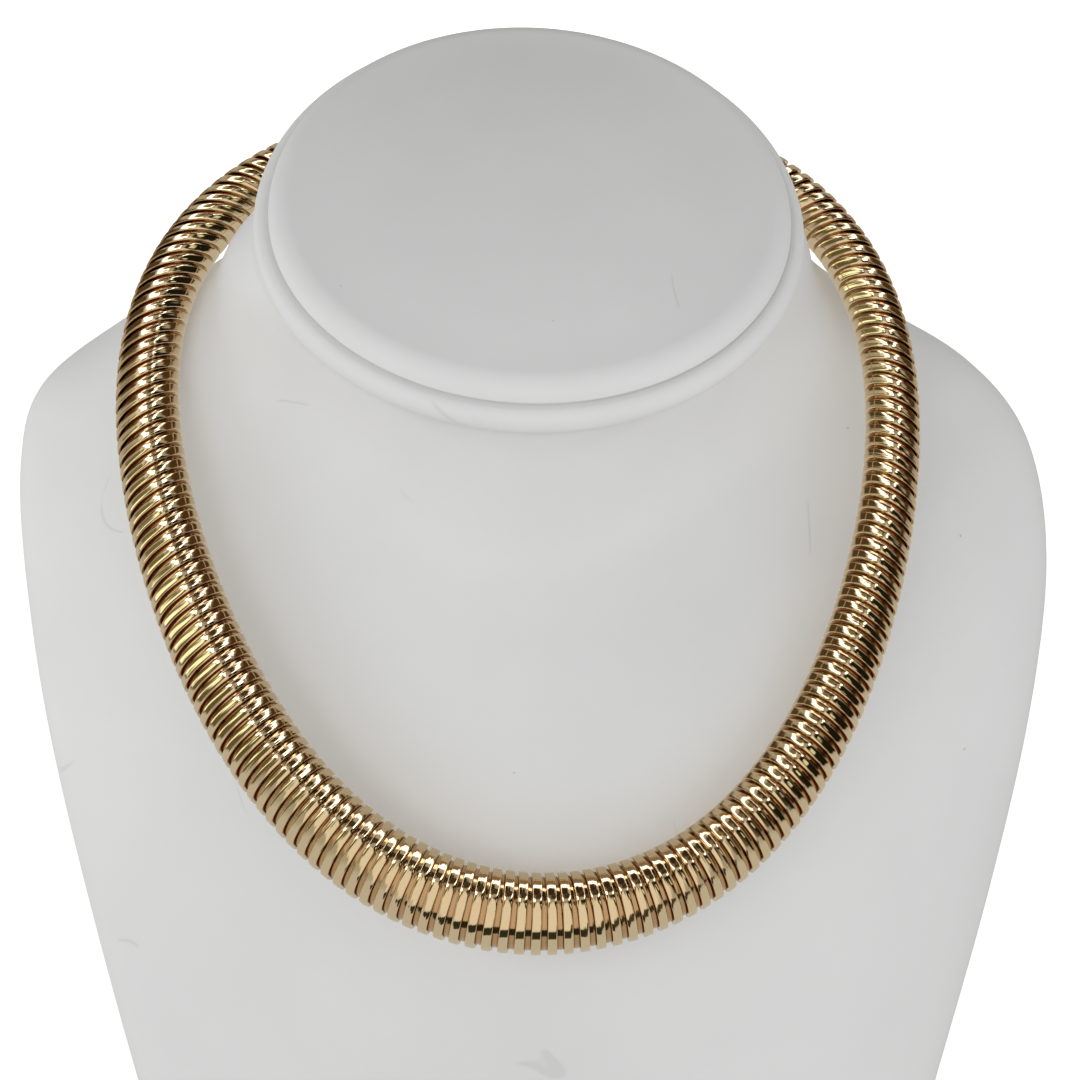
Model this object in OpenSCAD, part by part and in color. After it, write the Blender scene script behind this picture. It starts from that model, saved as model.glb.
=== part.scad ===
// Graduated gaspipe necklace resting on a neck bust.
// The bust stands on z = 0 and looks along -Y. The necklace lies in one slanted plane round its neck.

/* [Necklace] */
// Largest diameter of the ribbed tube, low on the chest
tube_max_d = 12.9; // [10:0.1:15]
// Smallest diameter of the ribbed tube, behind the neck
tube_min_d = 8.8; // [7:0.1:10]
// Advance of the wound strip in one turn
rib_pitch = 2.25; // [2.1:0.05:2.8]
// Width of the raised strip
rib_width = 1.5; // [1.2:0.05:1.7]
// Depth of the groove between two turns of the raised strip
rib_depth = 0.72; // [0.4:0.02:0.9]
// Thickness of metal under the groove
tube_wall = 0.4; // [0.3:0.05:0.6]
// Stretch of the loop in front of the clasp over which the tube is graduated, as a share of its half length
taper_share = 0.75; // [0.6:0.05:1]
// How far the turns lean forward at the sides of the neck, in degrees
turn_lean = 24; // [0:1:30]

/* [Loop] */
// Half width of the round that the loop is drawn from
loop_half_w = 63.4; // [62:0.2:66]
// Length of the loop along its slanted plane, from front to back
loop_slant = 137.4; // [136:0.2:140]
// Slope of the loop's plane
loop_slope = 50; // [49:0.5:52]
// How much the loop is fuller at the back than at the front
loop_egg = -0.21; // [-0.25:0.01:-0.15]
// How much the loop's sides are flattened
loop_flat = 0.07; // [0.03:0.01:0.1]
// Sideways place of the loop on the bust
loop_x = -4.3; // [-6:0.1:-2]
// Front of the loop, out from the bust's axis
loop_front_y = -50.6; // [-53:0.1:-50.4]
// Front of the loop, above the base
loop_front_z = 100; // [99.5:0.1:101]
// How far the necklace is turned round the neck, along the tube
loop_turn = -25; // [-30:1:-15]

/* [Clasp] */
// Length of each end cap
end_cap_len = 6; // [5:0.5:8]
// Depth that the ribbed tube goes into an end cap
end_cap_socket = 3; // [2.5:0.5:4]
// Wall of an end cap round the tube
end_cap_wall = 0.5; // [0.4:0.05:0.8]
// Length of the clasp between the end caps
clasp_len = 9; // [7:0.5:12]
// Diameter of the clasp
clasp_d = 8.6; // [7:0.1:9]
// Crown of the clasp's two ends
clasp_crown = 0.8; // [0.6:0.05:1.2]

/* [Bust] */
// Width of the shoulders where they are widest
shoulder_w = 175.6; // [170:0.2:180]
// Width of the neck under its top band
neck_w = 83.8; // [80:0.2:86]
// Slope of the neck's cut, down to the front
neck_slope = 34; // [30:0.5:38]
// Height of the middle of the neck's cut
neck_z = 194; // [190:0.5:198]
// Middle of the neck's cut, behind the bust's axis
neck_y = 0.6; // [-2:0.2:4]
// Sideways place of the neck
neck_x = -3.6; // [-5:0.1:-2]
// Height of the rounded band round the top of the neck
rim_h = 5; // [4:0.5:8]
// How far the band stands out from the neck
rim_proud = 1.8; // [1:0.1:2.5]
// Rounding of the padded cap's edge
cap_edge = 4; // [3:0.5:5]
// Crown of the padded cap
cap_crown = 4; // [1:0.5:6]

/* [Hidden] */

gold = "goldenrod";
leatherette = "whitesmoke";
// running gap between pieces that meet
seat_gap = 0.15;
// room round the tube in an end cap's socket, because the tube enters on a slight curve
socket_gap = 0.25;
// the bust's axis stands this far behind the middle of the whole, because the necklace stands out in front
axis_y = 4;
// sides of the tube and of the bust's rings
tube_sides = 10;
bust_sides = 44;
cap_sides = 56;
// distance from one ring of the tube's plain bore to the next
bore_step = 6.6;

// The loop, as a function of the angle t from its front, counted towards +X
slope_dir = [0, cos(loop_slope), sin(loop_slope)];
plane_n = [0, -sin(loop_slope), cos(loop_slope)];
loop_front = [loop_x, axis_y + loop_front_y, loop_front_z];
function loop_reach(t) = loop_half_w * sin(t) * (1 + loop_egg * cos(t) + loop_flat * cos(2 * t));
function loop_at(t) = loop_front + [loop_reach(t), 0, 0] + slope_dir * loop_slant * (1 - cos(t)) / 2;

// Length along the loop against angle, summed over short chords, and the angle looked up by length
loop_step = 0.5;
loop_chords = [for (t = [0 : loop_step : 360]) norm(loop_at(t) - loop_at(t - loop_step))];
function running_sum(v) = [for (i = 0, a = 0; i < len(v); i = i + 1, a = a + (i < len(v) ? v[i] : 0)) a];
loop_sums = running_sum(loop_chords);
loop_len = loop_sums[len(loop_sums) - 1];
angle_by_length = [for (i = [0 : len(loop_sums) - 1]) [loop_sums[i], i * loop_step]];
function wrapped(s) = s - loop_len * floor(s / loop_len);
function angle_at(s) = lookup(wrapped(s), angle_by_length);
function place_at(s) = loop_at(angle_at(s));
function unit(v) = v / norm(v);
function tangent_at(s) = unit(loop_at(angle_at(s) + loop_step) - loop_at(angle_at(s) - loop_step));
function outward_at(s) = cross(tangent_at(s), plane_n);

// Outer radius of the tube, full at the turned front and even near the clasp
function from_front(s) = min(wrapped(s - loop_turn), loop_len - wrapped(s - loop_turn)) / (loop_len / 2);
function taper(s) = (1 + cos(180 * min(from_front(s) / taper_share, 1))) / 2;
function tube_r(s) = (tube_min_d + (tube_max_d - tube_min_d) * taper(s)) / 2;

// The clasp sits opposite the fullest part, with an end cap each side and the tube between the caps
clasp_s = loop_turn + loop_len / 2;
cap_face = clasp_len / 2 + seat_gap;
coil_start = clasp_s + cap_face + end_cap_len - end_cap_socket + seat_gap;
coil_room = loop_len - 2 * (coil_start - clasp_s);
turns = floor(coil_room / rib_pitch) - 1;
pitch = coil_room / (turns + 1);

// The turns hang forward at the sides: on the outside of the loop they are shifted towards its front,
// more the further they are from it, and square to the tube again near the clasp
lean_from = 110;
front_lean = 4;
lean_gone = 178;
lean_full = 148;
function from_middle(s) = wrapped(s) < loop_len / 2 ? wrapped(s) : wrapped(s) - loop_len;
function lean_angle(m) = front_lean + turn_lean * sign(m) * pow(abs(m) / lean_from, 1.5);
function lean_share(m) = (1 - cos(180 * max(0, min(1, (lean_gone - abs(m)) / (lean_gone - lean_full))))) / 2;
function lean_at(m) = tan(max(-34, min(26, lean_angle(m)))) * lean_share(m);

// Points on the tube: a is the angle round it, rising along it as on a right-hand screw
function on_tube(s, a, r) =
    let (at = s - lean_at(from_middle(s)) * r * sin(a))
    place_at(at) + r * (cos(a) * plane_n + sin(a) * outward_at(at));

// The strip's profile: [distance along the tube, depth below the outer radius]
strip_profile = [
    [0, 0],
    [rib_width, 0],
    [(rib_width + pitch) / 2, rib_depth],
];

function flatten(l) = [for (a = l) for (b = a) b];
function quad(a, b, c, d) = [[a, b, c], [a, c, d]];

module gaspipe_coil() {
    n = tube_sides;
    last = n * turns;
    // three helices of points for the strip, of which the first runs one turn longer
    function helix(k, count) = [
        for (i = [0 : count])
            let (s = coil_start + pitch * i / n + strip_profile[k][0])
            on_tube(s, 360 * i / n, tube_r(s) - strip_profile[k][1])
    ];
    // the plain bore: one turn of a helix at each end and level rings between
    function bore_r(s) = tube_r(s) - rib_depth - tube_wall;
    function bore_turn(from) = [
        for (i = [0 : n])
            let (s = coil_start + from + pitch * i / n)
            on_tube(s, 360 * i / n, bore_r(s))
    ];
    rings = ceil((coil_room - 4 * pitch) / bore_step);
    function ring_s(q) = coil_start + 2 * pitch + (coil_room - 4 * pitch) * q / rings;
    bore_rings = [
        for (q = [0 : rings])
            for (i = [0 : n - 1])
                on_tube(ring_s(q), 360 * i / n, bore_r(ring_s(q)))
    ];
    points = concat(
        helix(0, last + n), helix(1, last), helix(2, last),
        bore_turn(0), bore_turn(pitch * turns), bore_rings
    );
    h0 = 0;
    h1 = h0 + last + n + 1;
    h2 = h1 + last + 1;
    b0 = h2 + last + 1;
    b1 = b0 + n + 1;
    r0 = b1 + n + 1;
    r1 = r0 + n * rings;
    strip_faces = flatten([
        for (i = [0 : last - 1])
            concat(
                quad(h0 + i, h1 + i, h1 + i + 1, h0 + i + 1),
                quad(h1 + i, h2 + i, h2 + i + 1, h1 + i + 1),
                quad(h2 + i, h0 + i + n, h0 + i + n + 1, h2 + i + 1)
            )
    ]);
    // level rings of the bore, facing inwards
    ring_faces = flatten([
        for (q = [0 : rings - 1])
            for (i = [0 : n - 1])
                let (a = r0 + q * n, j = (i + 1) % n)
                [[a + i, a + j, a + n + j], [a + i, a + n + j, a + n + i]]
    ]);
    // first turn: the helical face, the step where the strip begins, and the way into the rings
    start_faces = concat(
        flatten([for (i = [0 : n - 1]) quad(h0 + i, h0 + i + 1, b0 + i + 1, b0 + i)]),
        [[h0, b0, h1], [h1, b0, h2], [h2, b0, b0 + n], [h2, b0 + n, h0 + n]],
        flatten([for (i = [1 : n - 1]) quad(b0 + i, b0 + i + 1, r0 + (i + 1) % n, r0 + i)]),
        [[b0, b0 + 1, b0 + n], [b0 + 1, r0 + 1, b0 + n], [r0 + 1, r0, b0 + n]]
    );
    // last turn, the same way round in reverse
    end_faces = concat(
        flatten([for (i = [0 : n - 1]) quad(b1 + i, b1 + i + 1, h0 + last + i + 1, h0 + last + i)]),
        [
            [b1, h0 + last, h1 + last],
            [b1, h1 + last, h2 + last],
            [b1, h2 + last, b1 + n],
            [b1 + n, h2 + last, h0 + last + n],
        ],
        flatten([for (i = [0 : n - 2]) quad(r1 + i, r1 + i + 1, b1 + i + 1, b1 + i)]),
        [[r1 + n - 1, r1, b1 + n], [r1 + n - 1, b1 + n, b1 + n - 1], [r1, b1, b1 + n]]
    );
    color(gold)
        polyhedron(points, concat(strip_faces, ring_faces, start_faces, end_faces), convexity = 10);
}

// Moves its children to a station on the loop, with +Z along the tube
module at_station(s) {
    p = place_at(s);
    t = tangent_at(s);
    o = outward_at(s);
    multmatrix([
        [plane_n.x, o.x, t.x, p.x],
        [plane_n.y, o.y, t.y, p.y],
        [plane_n.z, o.z, t.z, p.z],
        [0, 0, 0, 1]
    ])
        children();
}

// A round cup with its closed end at z = 0 and its socket open at the far end
module end_cap() {
    socket_r = tube_min_d / 2 + socket_gap;
    outer_r = socket_r + end_cap_wall;
    chamfer = 0.6;
    floor_z = end_cap_len - end_cap_socket;
    color(gold)
        rotate_extrude($fn = 64)
            polygon([
                [0, 0],
                [outer_r - chamfer, 0],
                [outer_r, chamfer],
                [outer_r, end_cap_len],
                [socket_r, end_cap_len],
                [socket_r, floor_z],
                [0, floor_z]
            ]);
}

module end_cap_left() {
    at_station(clasp_s + cap_face + end_cap_len / 2)
        translate([0, 0, -end_cap_len / 2])
            end_cap();
}

module end_cap_right() {
    at_station(clasp_s - cap_face - end_cap_len / 2)
        rotate([180, 0, 0])
            translate([0, 0, -end_cap_len / 2])
                end_cap();
}

// A plain barrel with crowned ends, so that it clears the two end caps, which lean away from it
module clasp() {
    r = clasp_d / 2;
    half = clasp_len / 2;
    crown_r = (r * r + clasp_crown * clasp_crown) / (2 * clasp_crown);
    color(gold)
        at_station(clasp_s)
            intersection() {
                cylinder(h = clasp_len, r = r, center = true, $fn = 64);
                translate([0, 0, half - crown_r])
                    sphere(r = crown_r, $fn = 96);
                translate([0, 0, crown_r - half])
                    sphere(r = crown_r, $fn = 96);
            }
}

// Sections of the bust from the base up, each a rounded oblong turned about X by its tilt
// [height, y, tilt, width, front depth, back depth, squareness, chest swell, share of width it covers, x]
shoulder = shoulder_w / 2;
neck = neck_w / 2;
bust_rows = [
    [0, -2, 0, 0.663 * shoulder, 26, 30, 2.6, 4, 1, -1.5],
    [39.4, 5.4, 0, 0.786 * shoulder, 31, 28.4, 2.5, 14.6, 1, -1.1],
    [75.1, 12, 2, 0.891 * shoulder, 33.2, 26.9, 2.39, 22.8, 1, -0.2],
    [106.3, 17.9, 7, 0.967 * shoulder, 33, 25.7, 2.27, 28.9, 1, 0.4],
    [131.4, 23.1, 12, shoulder, 31.4, 24.5, 2.15, 32.9, 1, 0.4],
    [149.9, 27.1, 17, 0.983 * shoulder, 28.9, 23.5, 2, 34.5, 1, -1.3],
    [162.1, 28.5, 21, 0.906 * shoulder, 26.4, 23.6, 1.9, 33, 1, -4.3],
    [170.7, 25.4, 25, 0.75 * shoulder, 24.6, 25.1, 2, 29.3, 1, -5.8],
    [180.1, 19.6, neck_slope - 6, 0.589 * shoulder, 26.1, 23.7, 2.16, 23.7, 1, -4.4],
    [neck_z - 4.7, neck_y + 10.6, neck_slope - 3, 1.124 * neck, 31.6, 25.4, 1.95, 13.4, 1, neck_x - 0.5],
    [neck_z, neck_y, neck_slope, neck, 38.5, 36, 2, 0, 1, neck_x],
];
rows_between = 2;

// A smooth curve through the rows, after Catmull and Rom
function row(i) = bust_rows[max(0, min(len(bust_rows) - 1, i))];
function blend(a, b, c, d, u) =
    b + 0.5 * u * ((c - a) + u * (2 * a - 5 * b + 4 * c - d + u * (3 * (b - c) + d - a)));
function row_at(u) =
    let (i = min(floor(u), len(bust_rows) - 2))
    blend(row(i - 1), row(i), row(i + 1), row(i + 2), u - i);

function power(v, e) = sign(v) * pow(abs(v), e);
function swell(x, reach) = (1 + cos(180 * min(abs(x) / reach, 1))) / 2;
function section_point(r, a) =
    let (
        x = r[3] * power(sin(a), 2 / r[6]),
        front = cos(a) > 0,
        depth = power(cos(a), 2 / r[6]) * (front ? r[4] : r[5]),
        out = depth + (front ? r[7] * swell(x, r[3] * r[8]) : 0)
    )
    [r[9] + x, axis_y + r[1] - out * cos(r[2]), r[0] - out * sin(r[2])];
function section(r) = [for (i = [0 : bust_sides - 1]) section_point(r, 360 * i / bust_sides)];

// A closed solid through rings of points, all with the same number of points
module lofted(rings) {
    n = len(rings[0]);
    top = n * (len(rings) - 1);
    sides = flatten([
        for (q = [0 : len(rings) - 2])
            for (i = [0 : n - 1])
                let (a = q * n, j = (i + 1) % n)
                quad(a + i, a + n + i, a + n + j, a + j)
    ]);
    polyhedron(
        flatten(rings),
        concat(sides, [[for (i = [0 : n - 1]) i]], [[for (i = [n - 1 : -1 : 0]) top + i]]),
        convexity = 6
    );
}

module bust_torso() {
    color(leatherette)
        lofted([for (u = [0 : 1 / rows_between : len(bust_rows) - 1]) section(row_at(u))]);
}

// Rings parallel to the neck's cut: w and d0, d1 are the half width, front and back depth of one ring
function cut_ring(w, d0, d1, h) = [
    for (i = [0 : cap_sides - 1])
        let (
            a = 360 * i / cap_sides,
            out = cos(a) * (cos(a) > 0 ? d0 : d1)
        )
        [
            neck_x + w * sin(a),
            axis_y + neck_y - out * cos(neck_slope) - h * sin(neck_slope),
            neck_z - out * sin(neck_slope) + h * cos(neck_slope)
        ]
];
// The same ring as the neck's own outline, grown by g
neck_front = 39;
neck_back = 40.5;
function neck_ring(g, h) = cut_ring(neck + g, neck_front + g, neck_back + g, h);

module neck_rim() {
    // half a round from the underside of the band to its top
    color(leatherette)
        lofted([
            for (a = [-90 : 30 : 90])
                neck_ring(rim_proud * cos(a), seat_gap + rim_h * (1 + sin(a)) / 2)
        ]);
}

module neck_cap() {
    base_h = rim_h + 2 * seat_gap;
    inset = 0.6;
    // share of the half width at which each ring of the crown stands
    crown_rings = [0.7, 0.35, 0.08];
    edge_in = inset + cap_edge;
    top_h = base_h + cap_edge;
    color(leatherette)
        lofted(concat(
            [for (a = [0 : 22.5 : 90]) neck_ring(-inset - cap_edge * (1 - cos(a)), base_h + cap_edge * sin(a))],
            [
                for (k = crown_rings)
                    cut_ring(
                        (neck - edge_in) * k, (neck_front - edge_in) * k, (neck_back - edge_in) * k,
                        top_h + cap_crown * (1 - k * k)
                    )
            ]
        ));
}

gaspipe_coil();
end_cap_left();
end_cap_right();
clasp();
bust_torso();
neck_rim();
neck_cap();
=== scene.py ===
import math
import random

import bmesh
import bpy
import numpy as np
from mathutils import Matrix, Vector


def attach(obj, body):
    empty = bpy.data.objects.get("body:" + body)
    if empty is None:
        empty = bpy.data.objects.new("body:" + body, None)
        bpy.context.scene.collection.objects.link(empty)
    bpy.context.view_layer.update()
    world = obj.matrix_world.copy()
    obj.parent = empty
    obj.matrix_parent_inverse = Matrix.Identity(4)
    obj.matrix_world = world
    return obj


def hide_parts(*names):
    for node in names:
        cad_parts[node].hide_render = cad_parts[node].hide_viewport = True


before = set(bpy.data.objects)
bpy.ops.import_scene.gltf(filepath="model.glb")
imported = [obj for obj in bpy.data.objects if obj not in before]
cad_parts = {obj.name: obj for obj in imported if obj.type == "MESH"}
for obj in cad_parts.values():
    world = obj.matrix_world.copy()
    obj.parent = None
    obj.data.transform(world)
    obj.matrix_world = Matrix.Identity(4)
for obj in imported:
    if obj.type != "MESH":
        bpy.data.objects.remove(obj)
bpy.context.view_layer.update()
scene = bpy.context.scene
print("frame loaded with", len(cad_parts), "nodes")

mm = 0.001
axisY = 4.0 * mm  # the bust's axis stands this far behind the middle of the whole


# an output socket that can be added, subtracted and multiplied like a number

class Val:
    def __init__(self, shader, socket):
        self.shader = shader
        self.socket = socket

    def other(self, name):
        # another output of the same node
        return Val(self.shader, self.socket.node.outputs[name])

    def maths(self, operation, first, second):
        kind = "VectorMath" if self.socket.type in ("VECTOR", "RGBA") else "Math"
        return self.shader.node(kind, {"operation": operation}, {0: first, 1: second})

    def __add__(self, other):
        return self.maths("ADD", self, other)

    def __radd__(self, other):
        return self.maths("ADD", other, self)

    def __sub__(self, other):
        return self.maths("SUBTRACT", self, other)

    def __rsub__(self, other):
        return self.maths("SUBTRACT", other, self)

    def __mul__(self, other):
        return self.maths("MULTIPLY", self, other)

    def __rmul__(self, other):
        return self.maths("MULTIPLY", other, self)


class Shader:
    def __init__(self, tree):
        self.tree = tree
        self.tree.nodes.clear()

    def node(self, kind, settings=None, values=None, out=0):
        made = self.tree.nodes.new("ShaderNode" + kind)
        for name, setting in (settings or {}).items():
            setattr(made, name, setting)
        for name, value in (values or {}).items():
            if isinstance(value, Val):
                self.tree.links.new(value.socket, made.inputs[name])
            elif made.inputs[name].type == "VECTOR" and isinstance(value, (int, float)):
                made.inputs[name].default_value = (value, value, value)
            else:
                made.inputs[name].default_value = value
        return Val(self, made.outputs[out]) if made.outputs else None

    def mix(self, first, second, factor):
        # 6 and 7 are the Mix node's two colours, and 2 is its mixed colour
        return self.node("Mix", {"data_type": "RGBA"}, {0: factor, 6: first, 7: second}, 2)

    def fade(self, value, low, high):
        # 0 below low, 1 above high, smooth between
        settings = {"interpolation_type": "SMOOTHSTEP"}
        return self.node("MapRange", settings, {0: value, 1: low, 2: high, 3: 0.0, 4: 1.0})

    def noise(self, where, scale, detail=2.0, roughness=0.5):
        values = {"Vector": where, "Scale": scale, "Detail": detail, "Roughness": roughness}
        return self.node("TexNoise", {}, values)

    def attribute(self, name):
        # a number that the mesh carries at each of its points
        return self.node("Attribute", {"attribute_name": name}, out="Fac")

    def finish(self, surface, kind="OutputMaterial"):
        self.node(kind, {}, {"Surface": surface})


def newMaterial(name):
    material = bpy.data.materials.new(name)
    material.use_nodes = True
    return material, Shader(material.node_tree)


def rgba(red, green, blue):
    return (red, green, blue, 1.0)


def grey(tone):
    return rgba(tone, tone, tone)


def turnTo(made, aim):
    # cameras and lamps look along their own -Z
    made.rotation_euler = (made.location - Vector(aim)).to_track_quat("Z", "Y").to_euler()


# the camera, placed so that the picture's outlines fall where the photo's do

camera = {
    "azimuth": -5.2,        # degrees round the bust, minus is to its left
    "elevation": 20.0,      # degrees above the horizon
    "distance": 0.52,
    "lens": 111.8,          # millimetres, as the sensor
    "target": (-0.0023, -0.026, 0.150),
    "aimRight": -0.00217,   # the frame's centre lies this far from the target
    "aimUp": 0.00357,
    "sensor": 36,
    "nearest": 0.02,        # nothing closer than this is drawn
}


def makeCamera(values):
    turn = math.radians(values["azimuth"])
    lift = math.radians(values["elevation"])
    back = Vector((math.sin(turn) * math.cos(lift), -math.cos(turn) * math.cos(lift), math.sin(lift)))
    right = Vector((0, 0, 1)).cross(back).normalized()
    up = back.cross(right)
    target = Vector(values["target"])
    data = bpy.data.cameras.new("photoCamera")
    data.lens = values["lens"]
    data.sensor_width = values["sensor"]
    data.clip_start = values["nearest"]
    made = bpy.data.objects.new("photoCamera", data)
    scene.collection.objects.link(made)
    made.location = target + back * values["distance"]
    turnTo(made, target + right * values["aimRight"] + up * values["aimUp"])
    scene.camera = made


makeCamera(camera)
print("camera placed")


# the line that the necklace's tube follows

loop = {
    "halfWidth": 63.4 * mm,
    "slant": 137.4 * mm,     # front to back, measured down the slope
    "slope": 50.0,           # degrees
    "egg": -0.21,            # below zero, the front is the narrow end
    "flat": 0.07,            # fuller ends and flatter sides
    "x": -4.3 * mm,
    "frontY": axisY - 50.6 * mm,
    "frontZ": 100.0 * mm,
    "turn": -25.0 * mm,      # the thickest place, from the front, along the tube
    "thickest": 12.9 * mm,
    "thinnest": 8.8 * mm,
    "taperShare": 0.75,      # the part of each half that tapers
    "frontLean": 4.0,        # degrees, how the turns stand at the front
    "lean": 24.0,            # degrees that are added at leanFrom from the front
    "leanFrom": 110.0 * mm,
    "leanGrowth": 1.5,
    "leanLimits": (-34, 26),
    "leanFull": 148.0 * mm,  # from here to leanGone the turns come back square to the tube
    "leanGone": 178.0 * mm,
    "steps": 4000,           # chords in which the length is measured
}


class TubeLine:
    def __init__(self, values):
        self.values = values
        slope = math.radians(values["slope"])
        self.planeNormal = np.array([0.0, -math.sin(slope), math.cos(slope)])
        self.angles = np.linspace(-math.pi, math.pi, values["steps"] + 1)
        points = self.pointAt(self.angles)
        lengths = np.linalg.norm(np.diff(points, axis=0), axis=1)
        self.along = np.concatenate([[0.0], np.cumsum(lengths)])
        self.length = self.along[-1]
        self.along -= self.length / 2

    def pointAt(self, angle):
        v = self.values
        slope = math.radians(v["slope"])
        wobble = 1 + v["egg"] * np.cos(angle) + v["flat"] * np.cos(2 * angle)
        down = v["slant"] * (1 - np.cos(angle)) / 2
        x = v["x"] + v["halfWidth"] * np.sin(angle) * wobble
        y = v["frontY"] + down * math.cos(slope)
        z = v["frontZ"] + down * math.sin(slope)
        return np.stack([x, y, z], axis=-1)

    def frameAt(self, place):
        # centre, direction and outward side at distances along the line
        wrapped = (place + self.length / 2) % self.length - self.length / 2
        angle = np.interp(wrapped, self.along, self.angles)
        small = 1e-4
        centre = self.pointAt(angle)
        ahead = self.pointAt(angle + small)
        behind = self.pointAt(angle - small)
        tangent = ahead - behind
        tangent /= np.linalg.norm(tangent, axis=-1, keepdims=True)
        outward = np.cross(tangent, self.planeNormal)
        return centre, tangent, outward

    def bendAt(self, place):
        # how sharply the line turns, one over the radius
        small = 0.5 * mm
        before = self.frameAt(place - small)[1]
        after = self.frameAt(place + small)[1]
        return np.linalg.norm(after - before, axis=-1) / (2 * small)

    def radiusAt(self, place):
        v = self.values
        half = self.length / 2
        away = np.abs((place - v["turn"] + half) % self.length - half) / half
        share = (1 + np.cos(np.pi * np.minimum(away / v["taperShare"], 1))) / 2
        return (v["thinnest"] + (v["thickest"] - v["thinnest"]) * share) / 2

    def leanAt(self, place):
        # the turns' outer sides are shifted forward by this share of the radius
        v = self.values
        middle = (place + self.length / 2) % self.length - self.length / 2
        away = np.abs(middle)
        growth = (away / v["leanFrom"]) ** v["leanGrowth"]
        angle = np.clip(v["frontLean"] + v["lean"] * np.sign(middle) * growth, *v["leanLimits"])
        share = np.clip((v["leanGone"] - away) / (v["leanGone"] - v["leanFull"]), 0, 1)
        return np.tan(np.radians(angle)) * (1 - np.cos(np.pi * share)) / 2

    def surface(self, place, angle, height):
        # a point on the tube: angle turns from the loop's upper side towards its outside
        radius = self.radiusAt(place) + height
        centre, tangent, outward = self.frameAt(place - self.leanAt(place) * radius * np.sin(angle))
        reach = radius[..., None]
        side = np.cos(angle)[..., None] * self.planeNormal + np.sin(angle)[..., None] * outward
        return centre + reach * side


line = TubeLine(loop)
print("tube line is", round(line.length / mm, 1), "mm long")


def meshPiece(name, vertices, faces, material, smooth=True):
    mesh = bpy.data.meshes.new(name)
    mesh.from_pydata(vertices, [], faces)
    mesh.update()
    piece = bpy.data.objects.new(name, mesh)
    scene.collection.objects.link(piece)
    mesh.materials.append(material)
    mesh.polygons.foreach_set("use_smooth", [smooth] * len(mesh.polygons))
    return piece


def bandFaces(rings, count):
    # quads between rings of points that follow one another, each with count points
    faces = []
    for ring in range(rings - 1):
        low = ring * count
        high = low + count
        for k in range(count):
            nextK = (k + 1) % count
            faces.append((low + k, low + nextK, high + nextK, high + k))
    return faces


def writeAttribute(piece, name, numbers):
    made = piece.data.attributes.new(name, "FLOAT", "POINT")
    made.data.foreach_set("value", numbers)


def faceOut(piece):
    shell = bmesh.new()
    shell.from_mesh(piece.data)
    bmesh.ops.recalc_face_normals(shell, faces=shell.faces)
    shell.to_mesh(piece.data)
    shell.free()


# the gold

gold = {
    "bright": rgba(0.93, 0.765, 0.52),
    "rosy": rgba(0.93, 0.74, 0.51),
    # deep is a darker gold, for the stained specks and for the painted shade on the recessed strip
    "deep": rgba(0.58, 0.355, 0.17),
    # painted shade for the grooves and the strips' feet
    "grooveShade": rgba(0.42, 0.20, 0.07),
    "roughness": 0.04,
    "scratch": 0.03,
    "clouds": (38.0, 3.0),       # a noise's scale, detail and roughness, here and below
    "cloudFade": (0.35, 0.65),
    "grain": (900.0, 4.0, 0.6),
    "grainHeight": 0.1,
    "specks": (2600.0, 1.0),
    "speckFade": (0.62, 0.72),
    "speckStain": 0.12,
    "speckDull": 0.05,
    "drawnLines": 2300.0,        # fine lines along the strips, to the metre
    "drawnDrift": 0.9,           # how much the lines change from turn to turn
    "drawnDepth": 0.013 * mm,
    "recessedShade": 0.8,        # painted shade: the recessed strip has more of the deep tone, as if shaded in its recess
    "recessedDull": 0.03,
}


def goldMaterial(name, values, recessShade=0.0, dull=0.0):
    material, shader = newMaterial(name)
    where = shader.node("TexCoord", out="Object")
    broad = shader.fade(shader.noise(where, *values["clouds"]), *values["cloudFade"])
    grain = shader.noise(where, *values["grain"])
    specks = shader.fade(shader.noise(where, *values["specks"]), *values["speckFade"])
    tone = shader.mix(values["bright"], values["rosy"], broad)
    # the specks are real stains; the recessed strip also gets the deep tone as painted shade
    tone = shader.mix(tone, values["deep"], specks * values["speckStain"] + recessShade)
    # painted shade: darker towards the strips' feet and the grooves' edges, where shade falls
    tone = shader.mix(tone, values["grooveShade"], shader.attribute("sunkShade"))
    rough = values["roughness"] + dull + grain * values["scratch"] + specks * values["speckDull"]
    across = shader.attribute("across")
    turn = shader.attribute("turn")
    drawn = shader.node("TexNoise", {"noise_dimensions": "1D"}, {
        "W": across * values["drawnLines"] + turn * values["drawnDrift"],
        "Scale": 1.0, "Detail": 1.0})
    height = drawn + grain * values["grainHeight"]
    bump = shader.node("Bump", {}, {
        "Strength": 1.0, "Distance": values["drawnDepth"], "Height": height})
    surface = shader.node("BsdfPrincipled", {}, {
        "Base Color": tone, "Metallic": 1.0, "Roughness": rough, "Normal": bump})
    shader.finish(surface)
    return material


raisedGold = goldMaterial("raisedGold", gold)
recessedGold = goldMaterial("recessedGold", gold, gold["recessedShade"], gold["recessedDull"])
print("gold mixed")


# the gaspipe strips: a raised one wound over a recessed one

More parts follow.
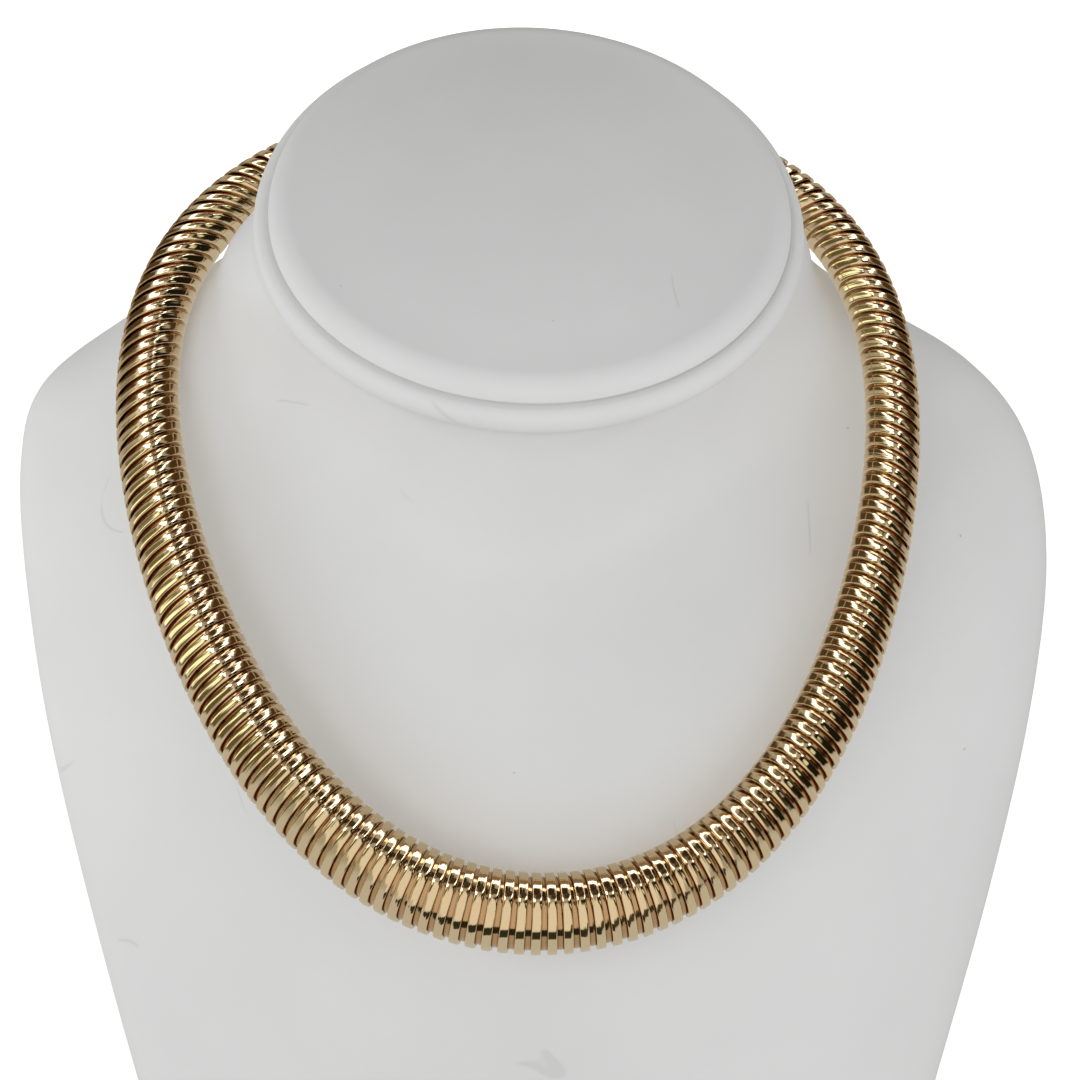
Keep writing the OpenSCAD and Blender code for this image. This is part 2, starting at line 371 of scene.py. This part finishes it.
winding = {
    "turns": 174,
    "raisedWidth": 1.5 * mm,
    "recess": 0.72 * mm,
    "raisedDepth": 0.70 * mm,
    "bevel": 0.20 * mm,
    "bevelDrop": 0.12 * mm,
    "bevelAngles": (0, 25, 50, 72),
    "crown": 0.008 * mm,
    "ribbonThick": 0.4 * mm,
    "ribbonGap": 0.1 * mm,
    "ribbonCrown": 0.015 * mm,
    "ribbonShoulder": 0.72,   # share of the open groove where the ribbon begins to fall away
    "shoulderRise": 0.6,      # share of the ribbon's crown that is left there
    "edgeShade": 0.9,         # painted groove shade at the groove's edge and at the shoulder
    "shoulderShade": 0.1,
    "stepsPerTurn": 40,
    "seed": 7,
    "tiltJitter": 1.8,        # degrees, each turn sits a little differently
    "heightJitter": 0.012 * mm,
    "ribbonJitter": 0.3,      # share of both that the recessed strip has
    "normalWeight": 90,
    "clasp": 9.0 * mm,
    "claspGap": 0.15 * mm,
    "endCap": 6.0 * mm,
    "endCapSocket": 3.0 * mm,
}


def measureCoil(values):
    # where the coil begins along the line, past the clasp and an end cap, and its pitch
    claspPlace = loop["turn"] + line.length / 2
    start = claspPlace + values["clasp"] / 2 + values["claspGap"]
    start += values["endCap"] - values["endCapSocket"] + values["claspGap"]
    room = line.length - 2 * (start - claspPlace)
    return start, room / (values["turns"] + 1)


coilStart, pitch = measureCoil(winding)
print("the coil has", winding["turns"], "turns at", round(pitch / mm, 3), "mm")


# both profiles give across, up and share of painted groove shade, from one foot over the top to the
# other

def mirrorProfile(half):
    # the last point of the half lies on the middle
    return np.array(half + [(-across, up, shadeShare) for across, up, shadeShare in reversed(half[:-1])])


def raisedProfile(values):
    edge = values["raisedWidth"] / 2
    bevel = values["bevel"]
    flat = edge - bevel
    half = [(edge, -values["raisedDepth"], 1.0)]
    for degrees in values["bevelAngles"]:
        angle = math.radians(degrees)
        half.append((flat + bevel * math.cos(angle), values["bevelDrop"] * (math.sin(angle) - 1), 0.0))
    # half way in, a parabola has three quarters of its height
    half += [(flat / 2, values["crown"] * 0.75, 0.0), (0.0, values["crown"], 0.0)]
    return mirrorProfile(half)


def ribbonProfile(values):
    edge = (pitch - values["ribbonGap"]) / 2
    opening = (pitch - values["raisedWidth"]) / 2
    shoulder = opening * values["ribbonShoulder"]
    top = -values["recess"]
    crown = values["ribbonCrown"]
    return mirrorProfile([
        (edge, top - values["ribbonThick"], 1.0),
        (edge, top, 1.0),
        (opening, top, values["edgeShade"]),
        (shoulder, top + crown * values["shoulderRise"], values["shoulderShade"]),
        (0.0, top + crown, 0.0),
    ])


def windStrip(name, profile, offset, values, material, jitter=1.0):
    steps = values["stepsPerTurn"]
    total = values["turns"] * steps + 1
    turnAngle = np.arange(total) * (2 * math.pi / steps)
    turn = turnAngle / (2 * math.pi)
    middle = coilStart + offset + pitch * turn
    bend = line.bendAt(middle)
    radius = line.radiusAt(middle)
    spread = 1 / (1 + radius * bend * np.sin(turnAngle))  # keeps the strip's width round the bend
    draw = random.Random(values["seed"])
    knots = range(values["turns"] + 2)
    tilts = [draw.uniform(-1, 1) for _ in knots]
    lifts = [draw.uniform(-1, 1) for _ in knots]
    tilt = np.interp(turn, knots, tilts) * math.radians(values["tiltJitter"]) * jitter
    lift = np.interp(turn, knots, lifts) * values["heightJitter"] * jitter
    count = len(profile)
    across = np.repeat(profile[None, :, 0], total, axis=0)
    up = np.repeat(profile[None, :, 1], total, axis=0)
    place = middle[:, None] + across * spread[:, None]
    height = up + across * np.tan(tilt)[:, None] + lift[:, None]
    angle = np.repeat(turnAngle[:, None], count, axis=1)
    vertices = line.surface(place, angle, height).reshape(-1, 3)
    faces = bandFaces(total, count)
    faces.append(tuple(range(count)))
    faces.append(tuple(reversed(range((total - 1) * count, total * count))))
    piece = meshPiece(name, vertices.tolist(), faces, material)
    writeAttribute(piece, "sunkShade", np.tile(profile[:, 2], total))
    writeAttribute(piece, "across", across.ravel())
    writeAttribute(piece, "turn", np.repeat(turn, count))
    faceOut(piece)
    weighted = piece.modifiers.new("weightedNormals", "WEIGHTED_NORMAL")
    weighted.weight = values["normalWeight"]
    weighted.keep_sharp = False
    return piece


raisedMiddle = winding["raisedWidth"] / 2
ribbonMiddle = (winding["raisedWidth"] - pitch) / 2
raisedStrip = windStrip("raisedStrip", raisedProfile(winding), raisedMiddle, winding, raisedGold)
recessedStrip = windStrip("recessedStrip", ribbonProfile(winding), ribbonMiddle, winding,
                          recessedGold, winding["ribbonJitter"])
for strip in (raisedStrip, recessedStrip):
    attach(strip, "root")
    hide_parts("gaspipe_coil")
for name in ("end_cap_left", "end_cap_right", "clasp"):
    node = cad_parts[name]
    node.data.materials.clear()
    node.data.materials.append(raisedGold)
print("strips wound")


# the white leatherette of the bust

leatherette = {
    "tone": rgba(0.80, 0.805, 0.80),
    "shade": rgba(0.74, 0.745, 0.74),
    # grey for the specks and hairs, and for the painted crease shade
    "marksAndCreaseShade": rgba(0.30, 0.30, 0.30),
    "clouds": (30.0, 4.0),       # a noise's scale and detail, here and below
    "cloudFade": (0.3, 0.7),
    "cloudShade": 0.5,
    "pebbleScale": 1500.0,
    "fine": (3000.0, 2.0),
    "broad": (160.0, 3.0),
    "pebbleHeight": 0.6,
    "fineHeight": 0.4,
    "broadHeight": 0.8,
    "grainDepth": 0.08 * mm,
    "grainStrength": 0.12,
    "speckScale": 70.0,
    "speckEdge": (900.0, 2.0),   # roughens the outlines of the specks
    "speckRagged": 0.02,
    "speckFade": (0.018, 0.034),
    "speckShade": 0.45,          # strength of the small grey marks
    "hairLines": (24.0, 1.0),
    "hairFade": (0.001, 0.004),
    "hairPlaces": (60.0, 1.0),
    "hairPlaceFade": (0.65, 0.70),
    "hairShade": 0.15,
    "creaseShade": 0.5,          # strength of the painted shade in the creases where the bust's pieces meet
    "roughness": 0.55,
    "cloudDull": 0.08,
    "specular": 0.35,
}


def leatheretteMaterial(values):
    material, shader = newMaterial("whiteLeatherette")
    where = shader.node("TexCoord", out="Object")
    cloud = shader.fade(shader.noise(where, *values["clouds"]), *values["cloudFade"])
    # specks are the inmost parts of scattered cells, and a hair follows the noise's middle value
    cells = shader.node("TexVoronoi", {}, {"Vector": where, "Scale": values["speckScale"]})
    ragged = shader.noise(where, *values["speckEdge"]) * values["speckRagged"]
    speck = 1 - shader.fade(cells + ragged, *values["speckFade"])
    fromMiddle = shader.noise(where, *values["hairLines"]) - 0.5
    strand = shader.node("Math", {"operation": "ABSOLUTE"}, {0: fromMiddle})
    present = shader.fade(shader.noise(where, *values["hairPlaces"]), *values["hairPlaceFade"])
    hair = (1 - shader.fade(strand, *values["hairFade"])) * present
    tone = shader.mix(values["tone"], values["shade"], cloud * values["cloudShade"])
    marks = speck * values["speckShade"] + hair * values["hairShade"]
    tone = shader.mix(tone, values["marksAndCreaseShade"], marks)
    # painted shade in the creases where the torso, the rim and the cap meet
    tone = shader.mix(tone, values["marksAndCreaseShade"], shader.attribute("crease") * values["creaseShade"])
    pebble = shader.node("TexVoronoi", {"feature": "SMOOTH_F1"}, {
        "Vector": where, "Scale": values["pebbleScale"]})
    fine = shader.noise(where, *values["fine"])
    broad = shader.noise(where, *values["broad"])
    height = pebble * values["pebbleHeight"] + fine * values["fineHeight"]
    height = height + broad * values["broadHeight"]
    bump = shader.node("Bump", {}, {
        "Strength": values["grainStrength"], "Distance": values["grainDepth"], "Height": height})
    rough = values["roughness"] + cloud * values["cloudDull"]
    surface = shader.node("BsdfPrincipled", {}, {
        "Base Color": tone, "Roughness": rough, "Normal": bump,
        "Specular IOR Level": values["specular"]})
    shader.finish(surface)
    return material


whiteLeatherette = leatheretteMaterial(leatherette)


# the neck bust, lofted through level and leaning rings

bust = {
    "halfWidth": 87.8 * mm,
    "neckHalf": 41.9 * mm,
    "neckZ": 194 * mm,
    "neckX": -3.6 * mm,
    "neckY": 0.6 * mm,
    "neckSlope": 34.0,       # degrees
    "neckFront": 39 * mm,    # half depths of the oval that the rim and the cap follow
    "neckBack": 40.5 * mm,
    "around": 180,
    "rowsPerStep": 14,
    "crease": (0.5, 0.5, 0.4, 0.25, 0.12, 0.05),  # painted crease shade under the rim, from the torso's top ring down
    "sharpEdge": 50,         # degrees between faces from which their edge stays sharp
}


def bustRows(values):
    wide = values["halfWidth"] / mm
    neck = values["neckHalf"] / mm
    top = values["neckZ"] / mm
    back = values["neckY"] / mm
    side = values["neckX"] / mm
    lean = values["neckSlope"]
    # height, back, lean in degrees, half width, front, rear, squareness, chest, sideways
    rows = [
        (0, -2, 0, 0.663 * wide, 26, 30, 2.6, 4, -1.5),
        (39.4, 5.4, 0, 0.786 * wide, 31, 28.4, 2.5, 14.6, -1.1),
        (75.1, 12, 2, 0.891 * wide, 33.2, 26.9, 2.39, 22.8, -0.2),
        (106.3, 17.9, 7, 0.967 * wide, 33, 25.7, 2.27, 28.9, 0.4),
        (131.4, 23.1, 12, wide, 31.4, 24.5, 2.15, 32.9, 0.4),
        (149.9, 27.1, 17, 0.983 * wide, 28.9, 23.5, 2, 34.5, -1.3),
        (162.1, 28.5, 21, 0.906 * wide, 26.4, 23.6, 1.9, 33, -4.3),
        (170.7, 25.4, 25, 0.75 * wide, 24.6, 25.1, 2, 29.3, -5.8),
        (180.1, 19.6, lean - 6, 0.589 * wide, 26.1, 23.7, 2.16, 23.7, -4.4),
        (top - 4.7, back + 10.6, lean - 3, 1.124 * neck, 31.6, 25.4, 1.95, 13.4, side - 0.5),
        (top, back, lean, neck, 38.5, 36, 2, 0, side),
    ]
    return np.array(rows, dtype=float)


def smoothRows(rows, perStep):
    # a cubic curve through the rows, whose slope at a row follows from its two neighbours
    padded = np.vstack([2 * rows[0] - rows[1], rows, 2 * rows[-1] - rows[-2]])
    made = []
    for k in range(len(rows) - 1):
        a, b, c, d = padded[k:k + 4]
        for step in range(perStep):
            t = step / perStep
            made.append(0.5 * (2 * b + (c - a) * t + (2 * a - 5 * b + 4 * c - d) * t ** 2
                               + (3 * b - a - 3 * c + d) * t ** 3))
    made.append(rows[-1])
    return made


def bustSection(row, around):
    height, back, lean, half, front, rear, square, chest, side = row
    turn = np.linspace(0, 2 * math.pi, around, endpoint=False)
    s = np.sin(turn)
    c = np.cos(turn)
    x = half * np.sign(s) * np.abs(s) ** (2 / square)
    depth = np.abs(c) ** (2 / square)
    reach = np.minimum(np.abs(x) / half, 1)
    swell = chest * (1 + np.cos(np.pi * reach)) / 2
    out = np.where(c > 0, front * depth + swell, -rear * depth)
    tilt = math.radians(lean)
    y = back - out * math.cos(tilt)
    z = height - out * math.sin(tilt)
    return np.stack([side + x, y, z], axis=-1) * mm + (0, axisY, 0)


def closedLoft(name, rings, crease):
    # crease gives the shade of whole rings, by their number
    count = len(rings[0])
    vertices = np.concatenate(rings).tolist()
    faces = bandFaces(len(rings), count)
    first = len(vertices)
    vertices.append(np.mean(rings[0], axis=0).tolist())
    vertices.append(np.mean(rings[-1], axis=0).tolist())
    last = (len(rings) - 1) * count
    for k in range(count):
        nextK = (k + 1) % count
        faces.append((first, nextK, k))
        faces.append((first + 1, last + k, last + nextK))
    piece = meshPiece(name, vertices, faces, whiteLeatherette)
    shade = np.zeros(len(vertices))
    for ring, value in crease.items():
        shade[ring * count:(ring + 1) * count] = value
    writeAttribute(piece, "crease", shade)
    faceOut(piece)
    return piece


def makeTorso(values):
    rows = smoothRows(bustRows(values), values["rowsPerStep"])
    rings = [bustSection(row, values["around"]) for row in rows]
    last = len(rings) - 1
    shade = {last - step: value for step, value in enumerate(values["crease"])}
    piece = closedLoft("bustTorso", rings, shade)
    piece.data.set_sharp_from_angle(angle=math.radians(values["sharpEdge"]))
    return piece


# the rim and the padded cap on the neck's slanting cut

rim = {
    "height": 5 * mm,
    "proud": 1.8 * mm,       # stands out from the neck by this much
    "gap": 0.15 * mm,
    "steps": 20,
    "crease": 0.10,          # painted crease shade on its uppermost ring
}

cap = {
    "inset": 0.6 * mm,
    "edge": 4 * mm,
    "edgeSteps": 12,
    "tuckIn": 0.5 * mm,      # the underside's edge is cut off at a slant by these two
    "tuckUp": 0.4 * mm,
    "crown": 4.0 * mm,
    "topRings": (0.85, 0.7, 0.5, 0.35, 0.2, 0.08),
    "crease": (1.0, 0.3),    # painted crease shade, from the lowest ring up
}


def slopingRing(values, grow, rise):
    turn = np.linspace(0, 2 * math.pi, values["around"], endpoint=False)
    s = np.sin(turn)
    c = np.cos(turn)
    depth = np.where(c > 0, values["neckFront"], values["neckBack"])
    out = (depth + grow) * c
    slope = math.radians(values["neckSlope"])
    x = values["neckX"] + (values["neckHalf"] + grow) * s
    y = axisY + values["neckY"] - out * math.cos(slope) - rise * math.sin(slope)
    z = values["neckZ"] - out * math.sin(slope) + rise * math.cos(slope)
    return np.stack([x, y, z], axis=-1)


def makeRim(neck, values):
    rings = []
    for step in range(values["steps"] + 1):
        turn = math.radians(-90 + 180 * step / values["steps"])
        rise = values["gap"] + values["height"] * (1 + math.sin(turn)) / 2
        rings.append(slopingRing(neck, values["proud"] * math.cos(turn), rise))
    return closedLoft("neckRim", rings, {values["steps"]: values["crease"]})


def makeCap(neck, under, values):
    inset = values["inset"]
    edge = values["edge"]
    base = under["height"] + 2 * under["gap"]
    lowest = base + values["tuckUp"]
    rings = [slopingRing(neck, -inset - values["tuckIn"], base), slopingRing(neck, -inset, lowest)]
    for step in range(values["edgeSteps"] + 1):
        turn = math.radians(90 * step / values["edgeSteps"])
        grow = -inset - edge * (1 - math.cos(turn))
        rings.append(slopingRing(neck, grow, lowest + (edge - values["tuckUp"]) * math.sin(turn)))
    for share in values["topRings"]:
        flat = slopingRing(neck, -inset - edge, base + edge + values["crown"] * (1 - share ** 2))
        centre = np.mean(flat, axis=0)
        rings.append(centre + (flat - centre) * share)
    return closedLoft("neckCap", rings, dict(enumerate(values["crease"])))


bustTorso = makeTorso(bust)
neckRim = makeRim(bust, rim)
neckCap = makeCap(bust, rim, cap)
for piece, node in ((bustTorso, "bust_torso"), (neckRim, "neck_rim"), (neckCap, "neck_cap")):
    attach(piece, "root")
    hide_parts(node)
    piece.visible_glossy = False
print("bust covered")


# the floor glows, so that it stays as white as the background

floor = {
    "tone": grey(0.86),
    "lightTone": grey(0.88),
    "clouds": (4.0, 2.0),
    "roughness": 0.7,
    "glow": 0.80,
    "half": 3.0,
}


def makeFloor(values):
    half = values["half"]
    material, shader = newMaterial("paleFloor")
    cloud = shader.noise(shader.node("TexCoord", out="Object"), *values["clouds"])
    tone = shader.mix(values["tone"], values["lightTone"], cloud)
    surface = shader.node("BsdfPrincipled", {}, {
        "Base Color": tone, "Roughness": values["roughness"], "Emission Color": tone,
        "Emission Strength": values["glow"]})
    shader.finish(surface)
    corners = [(-half, -half, 0), (half, -half, 0), (half, half, 0), (-half, half, 0)]
    sheet = meshPiece("paleFloor", corners, [(0, 1, 2, 3)], material, smooth=False)
    sheet.visible_glossy = False
    sheet.visible_diffuse = False


makeFloor(floor)
print("floor laid")


# what the gold mirrors: soft panels and dark cards round it, and the plain light on all the rest

room = {
    "tone": rgba(0.40, 0.37, 0.31),  # between the panels
    "fillAbove": 0.36,           # plain light from above the horizon, and from below it
    "fillBelow": 0.56,
    "fillFade": (-8.0, 8.0),     # degrees above the horizon
    "seen": grey(1),             # the background in the picture
    # left, right, low, high in degrees, lean to the right with height, softness, colour
    "panels": [
        (-360, 360, -95, -12, 0, 12, rgba(0.52, 0.51, 0.46)),
        (-31, 30, -25, 57.5, -0.12, 3, rgba(0.77, 0.715, 0.61)),
        (-98, -64, -19, 60, 1.15, 4, rgba(0.125, 0.1, 0.042)),
        (-99, -86, -14, 57, 1.15, 3.5, rgba(1.3, 1.35, 0.95)),
        (-132, -119, 34, 58, 1.15, 4, rgba(0.5, 0.48, 0.32)),
        (-118, -99, 0, 52, 1.15, 4, rgba(0.17, 0.145, 0.075)),
        (-112, -62, 47, 62, 0.2, 4, rgba(0.75, 0.7, 0.63)),
        (-38, 28, -51, -27, 0, 2, rgba(0.03, 0.03, 0.015)),
        (26, 46, -32, -8, 0.35, 3, rgba(0.06, 0.045, 0.022)),
        (44, 55, 4, 57, -0.6, 3, rgba(0.11, 0.085, 0.042)),
        (54, 96, -10, 58, -0.72, 3.5, rgba(0.012, 0.01, 0.005)),
        (56, 65, 30, 47, -0.6, 2, rgba(0.75, 0.75, 0.5)),
        (104, 134, 6, 60, -0.6, 6, rgba(0.2, 0.14, 0.09)),
        (84, 134, 10, 47, -0.1, 4, rgba(0.065, 0.036, 0.014)),
        (-176, -132, 4, 54, 1.15, 5, rgba(0.075, 0.048, 0.022)),
        (-72, 4, 66, 79, 0, 2, rgba(0.2, 0.155, 0.09)),
        (4, 72, 63.5, 79, 0, 2, rgba(0.05, 0.035, 0.018)),
        (-360, 360, 78, 120, 0, 2.5, rgba(0.035, 0.022, 0.01)),
        (-104, -6, 58.5, 67, 0, 1.5, rgba(3, 2.95, 2.9)),
        (32, 84, 57, 62, 0, 1.5, rgba(3, 2.95, 2.9)),
        (-6, 28, 58.5, 65.5, 0, 2, rgba(0.42, 0.37, 0.29)),
        (66, 128, 53, 61, 0.3, 3, rgba(2.6, 2.5, 2.35)),
        (112, 150, 56, 71, 0, 3, rgba(2.6, 2.5, 2.3)),
        (-150, -98, 57, 68, 0, 3, rgba(2.6, 2.5, 2.3)),
    ],
    # the same, for panels behind it: each is there on the left and on the right
    "behind": [
        (140, 230, 67, 76, 0, 1.5, rgba(3, 2.9, 2.8)),
        (140, 230, 44, 63, 0, 3, rgba(0.22, 0.15, 0.09)),
    ],
}


def allPanels(values):
    panels = list(values["panels"])
    for left, right, *rest in values["behind"]:
        panels += [(left, right, *rest), (-right, -left, *rest)]
    return panels


def makeWorld(values):
    world = bpy.data.worlds.new("studioRoom")
    world.use_nodes = True
    world.cycles.sampling_method = "NONE"
    scene.world = world
    shader = Shader(world.node_tree)
    direction = shader.node("TexCoord", out="Generated")
    x = shader.node("SeparateXYZ", {}, {0: direction}, "X")
    y = x.other("Y")
    z = x.other("Z")
    degrees = 180 / math.pi
    height = shader.node("Math", {"operation": "ARCSINE"}, {0: z}) * degrees
    across = shader.node("Math", {"operation": "ARCTAN2"}, {0: x, 1: y * -1.0}) * degrees
    tone = values["tone"]
    for left, right, low, high, lean, soft, colour in allPanels(values):
        side = across - height * lean
        inside = shader.fade(height, low - soft, low + soft)
        inside = inside * (1 - shader.fade(height, high - soft, high + soft))
        inside = inside * shader.fade(side, left - soft, left + soft)
        inside = inside * (1 - shader.fade(side, right - soft, right + soft))
        tone = shader.mix(tone, colour, inside)
    glossy = shader.node("LightPath", out="Is Glossy Ray")
    seen = glossy.other("Is Camera Ray")
    above = shader.fade(height, *values["fillFade"])
    fill = shader.mix(grey(values["fillBelow"]), grey(values["fillAbove"]), above)
    plain = shader.mix(fill, values["seen"], seen)
    tone = shader.mix(plain, tone, glossy)
    shader.finish(shader.node("Background", {}, {"Color": tone, "Strength": 1.0}), "OutputWorld")


makeWorld(room)
print("surroundings hung")


# the lamps light the bust only, because the gold mirrors the panels instead

lamps = {
    "aim": (0, -0.02, 0.15),
    # name, place, width and height, watts, whether it throws shadows
    "each": [
        ("leftLight", (-0.60, -0.05, 0.20), (0.35, 0.35), 1.17, False),
        ("rightLight", (0.55, -0.60, 0.15), (0.4, 0.4), 1.96, False),
        ("keyLight", (-0.25, -0.48, 0.26), (0.3, 0.3), 0.42, True),
        ("topLight", (0.0, -0.60, 0.85), (0.9, 0.6), 0.6, True),
        ("backLight", (0.20, 1.10, 0.45), (0.9, 0.9), 3.0, True),
    ],
}


def softLight(aim, name, place, size, power, shadow):
    data = bpy.data.lights.new(name, "AREA")
    data.shape = "RECTANGLE"
    data.size, data.size_y = size
    data.energy = power
    data.use_shadow = shadow
    light = bpy.data.objects.new(name, data)
    scene.collection.objects.link(light)
    light.location = place
    turnTo(light, aim)
    light.visible_camera = False
    light.visible_glossy = False


for lamp in lamps["each"]:
    softLight(lamps["aim"], *lamp)
scene.view_settings.view_transform = "Standard"
print("studio lit")
